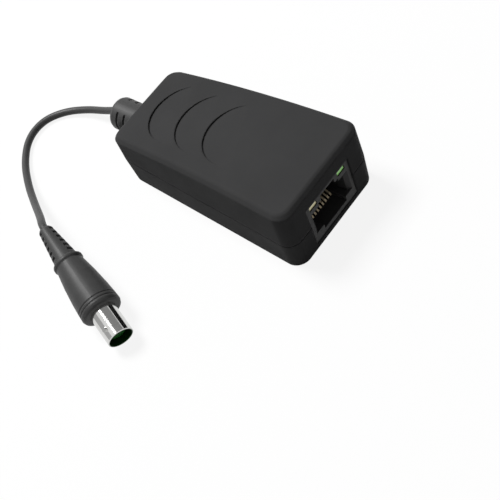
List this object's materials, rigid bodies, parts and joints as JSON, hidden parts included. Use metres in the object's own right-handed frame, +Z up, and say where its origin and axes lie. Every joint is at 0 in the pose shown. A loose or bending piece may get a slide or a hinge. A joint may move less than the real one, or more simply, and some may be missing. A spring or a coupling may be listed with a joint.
{
  "type": "ethernet over coax extender",
  "caption": "Small tapered plastic box with a network socket and indicator lights in its wide end, and a short coax lead with a moulded bayonet plug from its narrow end.",
  "frame": {"origin": "on the surface the case rests on, under the middle of the case's length and width", "axes": "+X along the case from the cable end to the network socket, +Z up from the base, and +Y across the case, away from the side seen in the picture"},
  "size_m": [0.095, 0.0684, 0.0188],
  "materials": {
    "case_plastic": "fine matte texture",
    "socket_plastic": "satin",
    "contact_gold": "plated, smooth",
    "amber_lens": "smooth and slightly cloudy",
    "green_lens": "smooth and slightly cloudy",
    "tinned_metal": "tinned, satin",
    "board_green": "solder mask, satin",
    "package_black": "matte",
    "ferrite_grey": "matte",
    "copper_wire": "bare copper, satin",
    "can_aluminium": "satin",
    "chip_part_tan": "glazed",
    "boot_rubber": "smooth and satin",
    "cord_jacket": "smooth and satin",
    "plug_nickel": "nickel plated, bright",
    "insulator_green": "satin"
  },
  "bodies": {
    "root": {"upper_shell": "case_plastic", "lower_shell": "case_plastic", "jack_housing": "socket_plastic", "contact_carrier": "socket_plastic", "jack_contact_1": "contact_gold", "jack_contact_2": "contact_gold", "jack_contact_3": "contact_gold", "jack_contact_4": "contact_gold", "jack_contact_5": "contact_gold", "jack_contact_6": "contact_gold", "jack_contact_7": "contact_gold", "jack_contact_8": "contact_gold", "amber_light": "amber_lens", "green_light": "green_lens", "amber_light_leads": "tinned_metal", "green_light_leads": "tinned_metal", "circuit_board": "board_green", "network_transformer": "package_black", "network_transformer_leads": "tinned_metal", "modem_chip": "package_black", "coax_transformer_core": "ferrite_grey", "coax_transformer_winding": "copper_wire", "power_inductor": "ferrite_grey", "filter_capacitor": "can_aluminium", "crystal": "tinned_metal", "chip_parts": "chip_part_tan", "strain_relief": "boot_rubber", "inner_cable": "cord_jacket", "coax_core_wire": "copper_wire", "coax_braid_lead": "tinned_metal", "cord": "cord_jacket", "plug_boot": "boot_rubber", "plug_shell": "plug_nickel", "plug_insulator": "insulator_green", "plug_center_contact": "contact_gold", "crimp_ferrule": "plug_nickel", "plug_inner_cable": "cord_jacket"}
  },
  "joints": []
}
